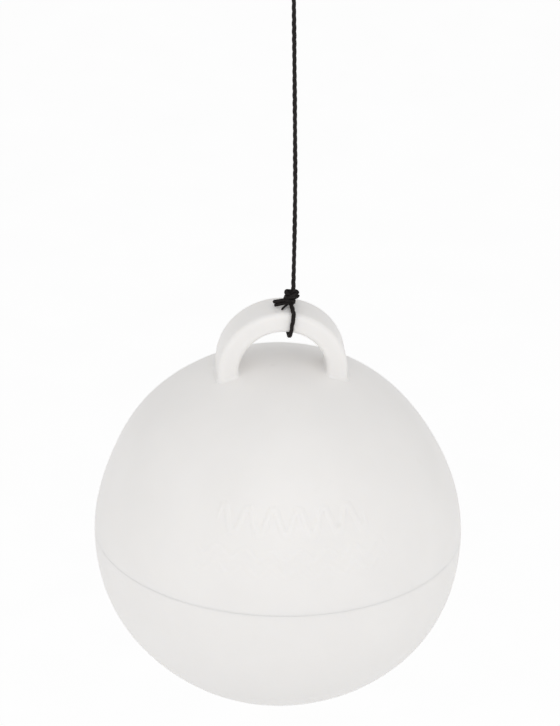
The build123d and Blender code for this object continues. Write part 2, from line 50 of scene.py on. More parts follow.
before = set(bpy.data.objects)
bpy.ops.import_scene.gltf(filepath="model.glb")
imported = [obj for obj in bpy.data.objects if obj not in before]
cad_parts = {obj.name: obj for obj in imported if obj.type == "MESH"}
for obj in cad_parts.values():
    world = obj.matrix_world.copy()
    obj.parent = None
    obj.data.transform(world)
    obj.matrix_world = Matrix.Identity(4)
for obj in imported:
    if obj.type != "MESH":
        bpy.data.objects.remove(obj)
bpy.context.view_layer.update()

MM = 0.001
TOP_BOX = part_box("globe_top")
BOTTOM_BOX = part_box("globe_bottom")
BALL_R = TOP_BOX[1].x
LOOP_TOP = 53.3 * MM
CENTRE_Z = TOP_BOX[1].z - LOOP_TOP
BASE_DROP = CENTRE_Z - BOTTOM_BOX[0].z
CENTRE = np.array((0.0, 0.0, CENTRE_Z))

# Place that the camera looks at, in the middle of the loop's feet
AIM = (-0.31 * MM, 0.0, CENTRE_Z + 39.66 * MM)

# Millimetres between the points along a strand of cord
STRAND_STEP = 0.16

# Height and radius of the lap joint between the shells, and its gap, in millimetres
LAP_HEIGHT = 2.0
LAP_R = 39.1
LAP_GAP = 0.05

# Degrees between the seam's sharp edge and the next row, close so that the skin shades evenly
RIM_ROW = 0.06

# Round of the base's edge, and radii of the neck and its ledges, in millimetres. Heights are
# from the ball's centre, and the three ledges' span and middles are in degrees.
BASE_EDGE_R = 0.5
NECK_R = 16.0
NECK_EDGE = 0.25
NECK_OUT_R = 17.6
NECK_TOP = -24.6
NECK_MIDDLE = -30.0
NECK_FOOT = -33.9
LEDGE_IN_R = 14.0
LEDGE_OUT_R = 16.8
LEDGE_LOW = -29.4
LEDGE_HIGH = -27.8
LEDGE_SPAN = 60
LEDGE_MIDDLES = (90, 210, 330)

# How deep the loop's legs go into the ball's wall, and the rows of a leg and of the half ring
LEG_SUNK = 2.9 * MM
LEG_ROWS = 22
ARCH_ROWS = 97


def to_linear(hex_colour, alpha=1.0):
    """Linear colour of an sRGB hex value such as #8A8C8E."""
    values = [int(hex_colour[i:i + 2], 16) / 255 for i in (1, 3, 5)]
    linear = [v / 12.92 if v <= 0.04045 else ((v + 0.055) / 1.055) ** 2.4 for v in values]
    return (*linear, alpha)


# ---------------------------------------------------------------- settings


class BallSettings(bpy.types.PropertyGroup):
    wall: FloatProperty(
        name="Wall", description="Thickness of the shells", default=1.8 * MM,
        min=0.5 * MM, unit="LENGTH")
    unevenness: FloatProperty(
        name="Unevenness", description="Share of the moulded ball's swellings and flat places",
        default=1.0, min=0.0, max=1.0)
    relief: FloatProperty(
        name="Relief", description="Height of the raised ripple marks", default=0.16 * MM,
        min=0.0, unit="LENGTH")
    seam: FloatProperty(
        name="Seam", description="Depth and half width of the groove between the shells",
        default=0.016 * MM, min=0.0, unit="LENGTH")
    colour: FloatVectorProperty(
        name="Colour", description="Milky polyethylene", subtype="COLOR", size=3,
        default=to_linear("#F1EFED")[:3], min=0.0, max=1.0)


class LoopSettings(bpy.types.PropertyGroup):
    centre: FloatProperty(
        name="Centre", description="Height of the half ring's centre over the ball's",
        default=39.45 * MM, unit="LENGTH")
    outer: FloatProperty(
        name="Outer radius", description="Outer radius of the half ring",
        default=13.95 * MM, unit="LENGTH")
    inner: FloatProperty(
        name="Inner radius", description="Inner radius of the half ring",
        default=9.4 * MM, unit="LENGTH")
    depth: FloatProperty(
        name="Depth", description="Depth of the loop, front to back", default=8.8 * MM,
        unit="LENGTH")
    back_edge: FloatProperty(
        name="Back edge", description="Rounding of the loop's long edges at the back",
        default=0.75 * MM, unit="LENGTH")
    front_edge: FloatProperty(
        name="Front edge", description="Rounding of the loop's long edges at the front",
        default=1.25 * MM, unit="LENGTH")
    fillet: FloatProperty(
        name="Fillet", description="Blend between the loop's feet and the ball",
        default=0.6 * MM, unit="LENGTH")


class CordSettings(bpy.types.PropertyGroup):
    diameter: FloatProperty(
        name="Diameter", description="Diameter of the laid cord", default=0.8 * MM,
        unit="LENGTH")
    lay: FloatProperty(
        name="Lay", description="Length in which a strand goes once round", default=5.4 * MM,
        unit="LENGTH")
    strands: IntProperty(
        name="Strands", description="Strands twisted into the cord", default=3, min=2, max=6)
    colour: FloatVectorProperty(
        name="Colour", description="Black polyester yarn", subtype="COLOR", size=3,
        default=to_linear("#120E0D")[:3], min=0.0, max=1.0)


class UnitSettings(bpy.types.PropertyGroup):
    housing: FloatVectorProperty(
        name="Housing", description="ABS of the light unit's housing", subtype="COLOR", size=3,
        default=to_linear("#E4E4E2")[:3], min=0.0, max=1.0)
    button: FloatVectorProperty(
        name="Button", description="ABS of the push button", subtype="COLOR", size=3,
        default=to_linear("#8E9396")[:3], min=0.0, max=1.0)
    silicone: FloatVectorProperty(
        name="Silicone", description="Silicone of the seals", subtype="COLOR", size=3,
        default=to_linear("#B9BCBC")[:3], min=0.0, max=1.0)


class StudioSettings(bpy.types.PropertyGroup):
    azimuth: FloatProperty(
        name="Camera azimuth", description="Direction of the camera round the ball",
        default=math.radians(-5.04), subtype="ANGLE")
    elevation: FloatProperty(
        name="Camera elevation", description="Height of the camera over the horizon",
        default=math.radians(26.77), subtype="ANGLE")
    roll: FloatProperty(
        name="Camera roll", description="Lean of the ball in the picture",
        default=math.radians(1.26), subtype="ANGLE")
    distance: FloatProperty(
        name="Camera distance", description="From the middle of the loop to the camera",
        default=1.0, unit="LENGTH")
    lens: FloatProperty(
        name="Lens", description="Focal length in millimetres for a 36 mm long side",
        default=231.0, min=1.0)
    floor_width: FloatProperty(
        name="Floor width", description="Side of the square floor", default=30.0, unit="LENGTH")
    floor_drop: FloatProperty(
        name="Floor drop", description="From the ball's centre down to the floor", default=1.35,
        unit="LENGTH")
    floor: FloatVectorProperty(
        name="Floor", description="Pale lit floor", subtype="COLOR", size=3,
        default=to_linear("#FDFDFD")[:3], min=0.0, max=1.0)


# ---------------------------------------------------------------- mesh helpers


def grid_faces(rows, columns, close_rows=False, close_columns=False):
    """Quads of a grid of points stored row by row, and each corner's row and share of the columns.

    Either direction may be closed on itself. The shares run on past one there, so that a pattern
    doesn't turn back at the join.
    """
    r = np.arange(rows if close_rows else rows - 1)
    c = np.arange(columns if close_columns else columns - 1)
    r, c = np.meshgrid(r, c, indexing="ij")
    corners = ((r, c), (r, c + 1), (r + 1, c + 1), (r + 1, c))
    quads = np.stack([i % rows * columns + j % columns for i, j in corners], axis=-1)
    places = np.stack([np.stack((i, j / columns), axis=-1) for i, j in corners], axis=-2)
    return quads.reshape(-1, 4), places.reshape(-1, 2)


def new_piece(name, surfaces, material, body, smooth=True, row_step=1.0):
    """One mesh object of several grids, each given as (points, close_rows, close_columns).

    Points are an array of rows, columns and three coordinates. The UV map holds row * row_step
    in U and the share of the columns in V. Rows that shrink to one point, such as a pole, are
    merged, and the faces are turned outwards.
    """
    vertices, faces, places, start = [], [], [], 0
    for points, close_rows, close_columns in surfaces:
        rows, columns = points.shape[:2]
        quads, where = grid_faces(rows, columns, close_rows, close_columns)
        vertices.append(points.reshape(-1, 3))
        faces.append(quads + start)
        places.append(where * (row_step, 1.0))
        start += rows * columns
    mesh = bpy.data.meshes.new(name)
    mesh.from_pydata(np.concatenate(vertices), [], np.concatenate(faces).tolist())
    layer = mesh.uv_layers.new(name="surface")
    layer.data.foreach_set("uv", np.concatenate(places).astype(np.float32).ravel())
    tidy_mesh(mesh)
    if smooth:
        mesh.shade_smooth()
    piece = bpy.data.objects.new(name, mesh)
    bpy.context.scene.collection.objects.link(piece)
    mesh.materials.append(material)
    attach(piece, body)
    return piece


def tidy_mesh(mesh, distance=1e-6):
    """Merges doubled points, drops faces without area and turns the faces outwards."""
    shape = bmesh.new()
    shape.from_mesh(mesh)
    bmesh.ops.remove_doubles(shape, verts=shape.verts, dist=distance)
    bmesh.ops.dissolve_degenerate(shape, edges=shape.edges, dist=distance / 2)
    bmesh.ops.recalc_face_normals(shape, faces=shape.faces)
    shape.to_mesh(mesh)
    shape.free()
    mesh.update()


def spline_points(route, resolution=40):
    """Points of the smooth line that has the route's points as its control points."""
    curve = bpy.data.curves.new("route", "CURVE")
    curve.dimensions = "3D"
    curve.resolution_u = resolution
    spline = curve.splines.new("NURBS")
    spline.points.add(len(route) - 1)
    for point, place in zip(spline.points, route):
        point.co = (*place, 1.0)
    spline.order_u = 3
    spline.use_endpoint_u = True
    holder = bpy.data.objects.new("route", curve)
    mesh = bpy.data.meshes.new_from_object(holder)
    points = np.empty(len(mesh.vertices) * 3)
    mesh.vertices.foreach_get("co", points)
    bpy.data.meshes.remove(mesh)
    bpy.data.objects.remove(holder)
    bpy.data.curves.remove(curve)
    return points.reshape(-1, 3)


def spaced(points, step):
    """The same line with its points a set step apart."""
    gaps = np.linalg.norm(np.diff(points, axis=0), axis=1)
    along = np.concatenate(([0.0], np.cumsum(gaps)))
    count = max(8, int(along[-1] / step))
    where = np.linspace(0, along[-1], count)
    return np.stack([np.interp(where, along, points[:, i]) for i in range(3)], axis=1), where


def unit_rows(vectors):
    """Rows of an array, each made one long."""
    return vectors / np.maximum(np.linalg.norm(vectors, axis=-1, keepdims=True), 1e-12)


def round_tube(line, radii, aside, sides=12):
    """Tube round a line: each ring is a circle in the plane across the line.

    The circle is radius * (cos a * N + sin a * B), where B is the line's direction crossed with
    the vector aside and N completes the square. The rings shrink where the radii do.
    """
    along = unit_rows(np.gradient(line, axis=0))
    across = unit_rows(np.cross(along, aside))
    inward = np.cross(across, along)
    angles = np.linspace(0, 2 * np.pi, sides, endpoint=False)[None, :, None]
    ring = np.cos(angles) * inward[:, None] + np.sin(angles) * across[:, None]
    return line[:, None] + radii[:, None, None] * ring


def rounded_ends(where, radius):
    """Radii of a tube whose ends close as half spheres: sqrt(r^2 - (r - distance to end)^2)."""
    to_end = np.minimum(where, where[-1] - where)
    short = np.clip(radius - to_end, 0, radius)
    return np.sqrt(np.maximum(radius ** 2 - short ** 2, 0)) + 1e-7


def trefoil(count, scale):
    """Closed line of an overhand knot: ((2 + cos 3t) cos 2t, (2 + cos 3t) sin 2t, sin 3t), scaled."""
    t = np.linspace(0, 2 * np.pi, count)
    reach = 2 + np.cos(3 * t)
    return np.stack((reach * np.cos(2 * t), reach * np.sin(2 * t), np.sin(3 * t)), axis=1) * scale


def cord_surfaces(route_points, cord, aside, looseness=0.0):
    """Tubes of the strands that a laid cord is twisted from, and the even points of its line.

    Each strand's line goes round the cord's line as a helix: line + h * (cos w * N + sin w * B),
    with w = 2 pi * length / lay + the strand's share of a turn. Looseness lets the helix swell
    and shrink slowly along the cord.
    """
    line, where = spaced(route_points, STRAND_STEP * MM)
    along = unit_rows(np.gradient(line, axis=0))
    across = unit_rows(np.cross(along, aside))
    inward = np.cross(across, along)
    strand_r = 0.36 * cord.diameter
    helix_r = 0.6 * cord.diameter - strand_r
    swell = 1 + looseness * np.sin(where / cord.lay * 2.3 + 1.0)
    surfaces = []
    for i in range(cord.strands):
        turn = 2 * np.pi * (where / cord.lay + i / cord.strands)[:, None]
        offset = np.cos(turn) * inward + np.sin(turn) * across
        strand_line = line + helix_r * swell[:, None] * offset
        surfaces.append((round_tube(strand_line, rounded_ends(where, strand_r), aside), False, True))
    return surfaces, line


# ---------------------------------------------------------------- materials


RGBA = {"data_type": "RGBA"}


def add_node(tree, kind, settings=(), **inputs):
    """Adds a node, sets its properties, and sets or links its inputs.

    An input goes by its name, with _ for a space, or by its number after an i, as in i6.
    """
    node = tree.nodes.new(kind)
    for key, value in dict(settings).items():
        setattr(node, key, value)
    for key, value in inputs.items():
        numbered = key[0] == "i" and key[1:].isdigit()
        socket = node.inputs[int(key[1:]) if numbered else key.replace("_", " ")]
        if isinstance(value, bpy.types.NodeSocket):
            tree.links.new(value, socket)
        else:
            socket.default_value = value
    return node


def start_material(name):
    """New material with its tree, empty."""
    material = bpy.data.materials.new(name)
    material.use_nodes = True
    material.node_tree.nodes.clear()
    return material, material.node_tree


def finished(material, **inputs):
    """The material with its Principled shader, whose inputs are set or linked, and its output."""
    shader = add_node(material.node_tree, "ShaderNodeBsdfPrincipled", **inputs)
    add_node(material.node_tree, "ShaderNodeOutputMaterial", Surface=shader.outputs["BSDF"])
    return material


def shade_of(colour, share):
    """A colour made darker or lighter, with its alpha."""
    return (*(c * share for c in colour[:3]), 1)


def patches(tree, size_mm, low, high, to_low=0.0, to_high=1.0, detail=3, roughness=0.5):
    """Pattern of soft patches about size_mm across, with values from to_low to to_high.

    Noise on the object's coordinates is spread so that its values from low to high cover the
    wanted range, and is held inside it.
    """
    place = add_node(tree, "ShaderNodeTexCoord").outputs["Object"]
    lumps = add_node(tree, "ShaderNodeTexNoise", Vector=place, Scale=1 / (size_mm * MM),
                     Detail=detail, Roughness=roughness)
    held = add_node(tree, "ShaderNodeMapRange", Value=lumps.outputs["Fac"], From_Min=low,
                    From_Max=high, To_Min=to_low, To_Max=to_high)
    return held.outputs["Result"]


def uneven_skin(tree, size_mm, depth_mm, strength, detail=2, under=None):
    """Normal of a skin with lumps about size_mm across and depth_mm high, over another normal."""
    place = add_node(tree, "ShaderNodeTexCoord").outputs["Object"]
    lumps = add_node(tree, "ShaderNodeTexNoise", Vector=place, Scale=1 / (size_mm * MM), Detail=detail,
                     Roughness=0.5)
    relief = add_node(tree, "ShaderNodeBump", Height=lumps.outputs["Fac"], Distance=depth_mm * MM,
                      Strength=strength)
    if under is not None:
        tree.links.new(under, relief.inputs["Normal"])
    return relief.outputs["Normal"]


def rare_specks(tree, cell_mm, strength):
    """Faint round specks in cells of about cell_mm, kept only where patches 16 mm across allow."""
    place = add_node(tree, "ShaderNodeTexCoord").outputs["Object"]
    cells = add_node(tree, "ShaderNodeTexVoronoi", Vector=place, Scale=1 / (cell_mm * MM))
    speck = add_node(tree, "ShaderNodeMapRange", Value=cells.outputs["Distance"], From_Min=0.01,
                     From_Max=0.09, To_Min=1.0, To_Max=0.0)
    allowed = patches(tree, 16, 0.56, 0.6, 0.0, strength, detail=1)
    both = add_node(tree, "ShaderNodeMath", {"operation": "MULTIPLY"}, i0=speck.outputs["Result"],
                    i1=allowed)
    return both.outputs["Value"]


def polyethylene(colour):
    """Moulded polyethylene, milky: light goes about a millimetre into it, so shadows are soft.

    Its skin is satin with a faint orange peel 1.5 mm across and flat places 14 mm across. Clouds
    of density 20 mm across, rub marks 7 mm across and rare darker specks break its colour.
    """
    material, tree = start_material("moulded polyethylene")
    rubbed = (*(c * share for c, share in zip(colour, (0.93, 0.925, 0.91))), 1)
    clouds = patches(tree, 20, 0.35, 0.65)
    body = add_node(tree, "ShaderNodeMix", RGBA, i0=clouds, i6=shade_of(colour, 0.975),
                    i7=shade_of(colour, 1))
    rubs = patches(tree, 7, 0.66, 0.78, 0.0, 0.35, detail=4, roughness=0.6)
    worn = add_node(tree, "ShaderNodeMix", RGBA, i0=rubs, i6=body.outputs[2], i7=rubbed)
    specked = add_node(tree, "ShaderNodeMix", RGBA, i0=rare_specks(tree, 9, 0.09), i6=worn.outputs[2],
                       i7=to_linear("#A9A49A"))
    flat_places = uneven_skin(tree, 14, 0.12, 0.5)
    return finished(material, Base_Color=specked.outputs[2], IOR=1.51, Subsurface_Weight=0.35,
                    Subsurface_Radius=(1.0, 0.97, 0.9), Subsurface_Scale=0.9 * MM,
                    Roughness=patches(tree, 12, 0.3, 0.7, 0.4, 0.5),
                    Normal=uneven_skin(tree, 1.5, 0.006, 0.6, under=flat_places))


def moulded_abs(name, colour, rough=0.42):
    """Moulded ABS with a fine spark-eroded texture 0.3 mm across, duller where it is touched."""
    material, tree = start_material(name)
    touched = patches(tree, 6, 0.45, 0.7, detail=4, roughness=0.6)
    body = add_node(tree, "ShaderNodeMix", RGBA, i0=touched, i6=shade_of(colour, 1),
                    i7=shade_of(colour, 0.94))
    return finished(material, Base_Color=body.outputs[2], IOR=1.54,
                    Roughness=patches(tree, 3, 0.3, 0.7, rough - 0.05, rough + 0.08),
                    Normal=uneven_skin(tree, 0.3, 0.008, 0.7))


def silicone(colour):
    """Moulded silicone rubber: dull, slightly see-through at its edges, and it holds dust."""
    material, tree = start_material("moulded silicone rubber")
    dust = patches(tree, 1.2, 0.5, 0.75, 0.0, 0.3, detail=5, roughness=0.7)
    body = add_node(tree, "ShaderNodeMix", RGBA, i0=dust, i6=shade_of(colour, 1), i7=to_linear("#D9D9D5"))
    return finished(material, Base_Color=body.outputs[2], Roughness=patches(tree, 2, 0.3, 0.7, 0.55, 0.72),
                    IOR=1.41, Subsurface_Weight=0.2, Subsurface_Scale=1.0 * MM,
                    Normal=uneven_skin(tree, 0.5, 0.01, 0.5))


def plated_metal(name, hex_colour, rough, grain_mm=0.4):
    """Plated sheet or wire: a metal whose fine rolling marks and spots break the reflection."""
    material, tree = start_material(name)
    colour = to_linear(hex_colour)
    stain = patches(tree, 4, 0.5, 0.75, detail=4, roughness=0.6)
    body = add_node(tree, "ShaderNodeMix", RGBA, i0=stain, i6=colour, i7=shade_of(colour, 0.82))
    return finished(material, Base_Color=body.outputs[2], Metallic=1.0,
                    Roughness=patches(tree, grain_mm, 0.3, 0.7, rough - 0.06, rough + 0.1),
                    Normal=uneven_skin(tree, grain_mm, 0.004, 0.5, detail=3))


def circuit_board(name, resist_hex, copper_hex):
    """Solder resist over copper: tracks every 4 mm show as slightly raised lighter lines.

    Round tinned pads about 1 mm across lie between them, smoother than the resist.
    """
    material, tree = start_material(name)
    place = add_node(tree, "ShaderNodeTexCoord").outputs["Object"]
    cells = add_node(tree, "ShaderNodeTexBrick", Vector=place, Color1=(0, 0, 0, 1), Color2=(0, 0, 0, 1),
                     Mortar=(1, 1, 1, 1), Scale=1 / (4 * MM), Mortar_Size=0.06, Mortar_Smooth=0.2)
    tracks = cells.outputs["Color"]
    dots = add_node(tree, "ShaderNodeTexVoronoi", Vector=place, Scale=1 / (3.2 * MM), Randomness=0.75)
    pads = add_node(tree, "ShaderNodeMapRange", Value=dots.outputs["Distance"], From_Min=0.13,
                    From_Max=0.16, To_Min=1.0, To_Max=0.0)
    smoother = add_node(tree, "ShaderNodeMapRange", Value=dots.outputs["Distance"], From_Min=0.13,
                        From_Max=0.16, To_Min=0.25, To_Max=0.38)
    lined = add_node(tree, "ShaderNodeMix", RGBA, i0=tracks, i6=to_linear(resist_hex),
                     i7=to_linear(copper_hex))
    tinned = add_node(tree, "ShaderNodeMix", RGBA, i0=pads.outputs["Result"], i6=lined.outputs[2],
                      i7=to_linear("#C9C6BE"))
    raised = add_node(tree, "ShaderNodeBump", Height=tracks, Distance=0.035 * MM, Strength=1.0)
    return finished(material, Base_Color=tinned.outputs[2], Roughness=smoother.outputs["Result"], IOR=1.55,
                    Normal=raised.outputs["Normal"])


def chip_resin():
    """Black epoxy of chip packages: dull, with a grain of 0.2 mm."""
    material, tree = start_material("moulded black epoxy")
    body = add_node(tree, "ShaderNodeMix", RGBA, i0=patches(tree, 1.5, 0.3, 0.7), i6=to_linear("#1F2022"),
                    i7=to_linear("#2B2C2E"))
    return finished(material, Base_Color=body.outputs[2], Roughness=patches(tree, 1.5, 0.3, 0.7, 0.5, 0.62),
                    Normal=uneven_skin(tree, 0.2, 0.01, 0.6))


def led_package():
    """White LED package with a yellow phosphor gel in its cup, told apart by the cup's height."""
    material, tree = start_material("phosphor in white LED package")
    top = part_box("leds")[1].z
    place = add_node(tree, "ShaderNodeTexCoord").outputs["Object"]
    height = add_node(tree, "ShaderNodeSeparateXYZ", Vector=place).outputs["Z"]
    in_cup = add_node(tree, "ShaderNodeMapRange", Value=height, From_Min=top - 0.45 * MM,
                      From_Max=top - 0.05 * MM, To_Min=1.0, To_Max=0.0)
    gel = add_node(tree, "ShaderNodeMix", RGBA, i0=patches(tree, 0.4, 0.3, 0.7, detail=2),
                   i6=to_linear("#E9D25A"), i7=to_linear("#F0E08A"))
    body = add_node(tree, "ShaderNodeMix", RGBA, i0=in_cup.outputs["Result"], i6=to_linear("#F1F1EE"),
                    i7=gel.outputs[2])
    return finished(material, Base_Color=body.outputs[2],
                    Roughness=patches(tree, 0.4, 0.3, 0.7, 0.25, 0.4, detail=2))


def frosted_lens():
    """Frosted polycarbonate: etched inside, so it scatters the light it lets through."""
    material, tree = start_material("frosted polycarbonate")
    body = add_node(tree, "ShaderNodeMix", RGBA, i0=patches(tree, 5, 0.3, 0.7), i6=to_linear("#F3F5F6"),
                    i7=to_linear("#E6EAEC"))
    return finished(material, Base_Color=body.outputs[2], Roughness=patches(tree, 0.6, 0.3, 0.7, 0.34, 0.5),
                    IOR=1.585, Transmission_Weight=0.55, Normal=uneven_skin(tree, 0.25, 0.012, 0.8))


def wire_insulation():
    """Extruded PVC insulation, told apart by the wire's place: one red, one black."""
    material, tree = start_material("extruded PVC insulation")
    low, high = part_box("led_leads")
    between = (low.x + high.x) / 2
    place = add_node(tree, "ShaderNodeTexCoord").outputs["Object"]
    across = add_node(tree, "ShaderNodeSeparateXYZ", Vector=place).outputs["X"]
    side = add_node(tree, "ShaderNodeMapRange", Value=across, From_Min=between - 0.02 * MM,
                    From_Max=between + 0.02 * MM)
    body = add_node(tree, "ShaderNodeMix", RGBA, i0=side.outputs["Result"], i6=to_linear("#A81E17"),
                    i7=to_linear("#1C1C1E"))
    return finished(material, Base_Color=body.outputs[2],
                    Roughness=patches(tree, 0.8, 0.3, 0.7, 0.32, 0.48),
                    Normal=uneven_skin(tree, 0.3, 0.006, 0.5))


def polyester_yarn(colour):
    """Black polyester filament yarn: each strand shows fibres about 0.1 mm apart, with a sheen.

    The fibres run along the strand at a slant, so the pattern follows the strand's own UV map,
    in which U is millimetres along it and V goes once round it. Real fibres are a fifth as
    wide and would not show.
    """
    material, tree = start_material("twisted polyester yarn")
    uv = add_node(tree, "ShaderNodeUVMap", {"uv_map": "surface"}).outputs["UV"]
    slanted = add_node(tree, "ShaderNodeMapping", Vector=uv, Rotation=(0, 0, 0.35), Scale=(0.5, 12, 1))
    fibre = add_node(tree, "ShaderNodeTexNoise", Vector=slanted.outputs["Vector"], Scale=1.6,
                     Detail=3).outputs["Fac"]
    shade = add_node(tree, "ShaderNodeMapRange", Value=fibre, From_Min=0.35, From_Max=0.7)
    sheen = add_node(tree, "ShaderNodeMapRange", Value=fibre, From_Min=0.35, From_Max=0.7, To_Min=0.75,
                     To_Max=0.5)
    body = add_node(tree, "ShaderNodeMix", RGBA, i0=shade.outputs["Result"], i6=shade_of(colour, 0.6),
                    i7=shade_of(colour, 2.6))
    ribs = add_node(tree, "ShaderNodeBump", Height=fibre, Distance=0.03 * MM, Strength=0.8)
    return finished(material, Base_Color=body.outputs[2], Roughness=sheen.outputs["Result"],
                    Specular_IOR_Level=0.22, Normal=ribs.outputs["Normal"])


def lit_floor(colour):
    """Opal acrylic of a light table: matte and glowing from below. The glow is weaker under the ball, a
    painted soft shadow of the ball there.
    """
    material, tree = start_material("opal acrylic light table")
    grain = patches(tree, 60, 0.3, 0.7, detail=2)
    body = add_node(tree, "ShaderNodeMix", RGBA, i0=grain, i6=shade_of(colour, 0.99),
                    i7=shade_of(colour, 1))
    place = add_node(tree, "ShaderNodeTexCoord").outputs["Object"]
    outwards = add_node(tree, "ShaderNodeVectorMath", {"operation": "LENGTH"}, i0=place)
    # The glow rises with the distance from the origin over the ball, so the floor is darker beneath the
    # ball: a painted shadow.
    glow_with_painted_shadow = add_node(tree, "ShaderNodeMapRange", Value=outwards.outputs["Value"], From_Min=1.4,
                    From_Max=2.25, To_Min=0.05, To_Max=0.323)
    return finished(material, Base_Color=body.outputs[2], Roughness=0.9, Specular_IOR_Level=0.0,
                    Emission_Color=(1, 1, 1, 1), Emission_Strength=glow_with_painted_shadow.outputs["Result"])


# ---------------------------------------------------------------- shapes of the ball


# Swellings (+) and flat places (-) of the moulded ball, in millimetres: the direction of each
# one's middle from the ball's centre, its height, and the angle at which it has faded to a third.
SWELLINGS = (
    ((0.71, -0.37, -0.60), 0.80, 27),
    ((-0.80, -0.20, -0.57), 0.25, 24),
    ((0.86, 0.17, 0.49), -0.75, 22),
    ((-0.66, 0.31, 0.69), 0.25, 15),
    ((-0.92, 0.18, 0.35), -0.40, 14),
    ((-0.30, 0.88, 0.25), -0.40, 30),
    ((0.35, 0.75, -0.50), 0.30, 26),
)

# Between these heights, as shares of the ball's radius, the swellings fade in from the base
NECK_FADE = (-0.885, -0.79)

# The ball grows flatter towards its base: by this much, between these two elevations in degrees
FLATTER_BY = 0.6
FLATTER_FROM, FLATTER_TO = -15, -50


def unevenness(directions, share):
    """How far the moulded ball stands out from a true sphere, for unit directions from its centre.

    Each swelling adds height * exp((d . middle - 1) / (1 - cos width)), a round hill about its
    middle. All of it fades out, as a smooth step of the direction's z, towards the base.
    """
    total = 0.0
    for middle, height, width in SWELLINGS:
        middle = np.array(middle) / np.linalg.norm(middle)
        fall = 1 - math.cos(math.radians(width))
        total = total + height * np.exp((directions @ middle - 1) / fall)
    low, high = NECK_FADE
    fade = np.clip((directions[..., 2] - low) / (high - low), 0, 1)
    return share * total * MM * fade * fade * (3 - 2 * fade)


def wave_line(azimuth, elevation, middle, swing, half_width, thickness, period):
    """Height from 0 to 1 of a raised wavy stroke on the ball.

    The stroke's middle line is elevation = middle + swing * sin(2 pi * azimuth / period). The
    height falls with the distance from that line, measured across the stroke, as a smooth step,
    and it ends where the azimuth passes half_width.
    """
    phase = 2 * np.pi * azimuth / period
    slope = swing * 2 * np.pi / period * np.cos(phase)
    away = np.abs(elevation - middle - swing * np.sin(phase)) / np.sqrt(1 + slope ** 2)
    across = np.clip(1.5 - 2 * away / thickness, 0, 1)
    ends = np.clip((half_width - np.abs(azimuth)) / (thickness / 2), 0, 1)
    return across * across * (3 - 2 * across) * ends


# The raised waves at the front of the ball: elevation of the middle line, swing, half width,
# thickness and period, all in degrees, and the share of the full height
WAVES = (
    (29.3, 3.6, 27.0, 1.9, 9.0, 1.0),
    (19.2, 1.5, 31.5, 1.4, 9.0, 0.6),
    (14.2, 1.5, 31.5, 1.4, 9.0, 0.6),
)
MARKS_LOW, MARKS_HIGH = 9, 35
MARKS_HALF_WIDTH = 34


def ripple_marks(directions):
    """Share of the full relief at each direction: a tall wave over two low ripples, at the front."""
    azimuth = np.arctan2(directions[..., 0], -directions[..., 1])
    elevation = np.arcsin(np.clip(directions[..., 2], -1, 1))
    relief = np.zeros_like(azimuth)
    for *stroke, height in WAVES:
        relief = np.maximum(relief, height * wave_line(azimuth, elevation, *np.radians(stroke)))
    return relief


def mark_azimuths():
    """Azimuths round the ball, fine over the marks at the front and coarser behind."""
    front = math.radians(MARKS_HALF_WIDTH)
    fine = np.linspace(-front, front, 190, endpoint=False)
    return np.concatenate((fine, np.linspace(front, 2 * np.pi - front, 150, endpoint=False)))


def shell_surface(ball, azimuths, profile, marks=False):
    """Closed surface of a shell: a profile turned round Z and then pushed in and out.

    The profile is rows of (radius, height, skin, wall). A point moves along its direction from
    the ball's centre by the unevenness where wall is 1, and by the raised marks where skin is 1.
    """
    radius, height, skin, wall = (profile[:, i:i + 1] for i in range(4))
    parts = (radius * np.sin(azimuths), -radius * np.cos(azimuths), height + 0 * azimuths)
    points = np.stack(parts, axis=-1)
    directions = unit_rows(points)
    change = wall * unevenness(directions, ball.unevenness)
    if marks:
        change = change + skin * ball.relief * ripple_marks(directions)
    points = points + change[..., None] * directions
    points[..., :2] = np.clip(points[..., :2], -BALL_R, BALL_R)
    return points + CENTRE


def arc_rows(radius, start, end, count, skin=0.0):
    """Profile rows about the ball's centre between two elevations in degrees.

    The rows lie on a circle whose radius falls towards the base, as a smooth step of elevation.
    """
    elevation = np.linspace(start, end, count)
    share = np.clip((elevation - FLATTER_FROM) / (FLATTER_TO - FLATTER_FROM), 0, 1)
    radius = radius - FLATTER_BY * MM * share * share * (3 - 2 * share)
    angle = np.radians(elevation)
    ones = np.ones(count)
    return np.stack((radius * np.cos(angle), radius * np.sin(angle), skin * ones, ones), axis=1)


def line_rows(wall, *corners):
    """Profile rows at corners given as (radius, height) in millimetres."""
    return np.array([(r * MM, z * MM, 0.0, wall) for r, z in corners])


def upper_shell(ball):
    """Upper shell, turned from a profile: outer skin to the pole, inner skin back, and rebate."""
    inner = BALL_R - ball.wall
    seam_angle = math.degrees(ball.seam / BALL_R)
    skin = np.concatenate((
        arc_rows(BALL_R, seam_angle, seam_angle + RIM_ROW, 2, 1.0),
        arc_rows(BALL_R, 0.6, MARKS_LOW, 15, 1.0),
        arc_rows(BALL_R, MARKS_LOW + 0.35, MARKS_HIGH, 74, 1.0),
        arc_rows(BALL_R, MARKS_HIGH + 1, 90, 46, 1.0),
    ))
    inside = arc_rows(inner, 90, math.degrees(math.asin(LAP_HEIGHT * MM / inner)), 30)
    rim = line_rows(1.0, (LAP_R, LAP_HEIGHT), (LAP_R, 0.0), ((BALL_R - ball.seam) / MM, 0.0))
    return shell_surface(ball, mark_azimuths(), np.concatenate((skin, inside, rim)), marks=True)


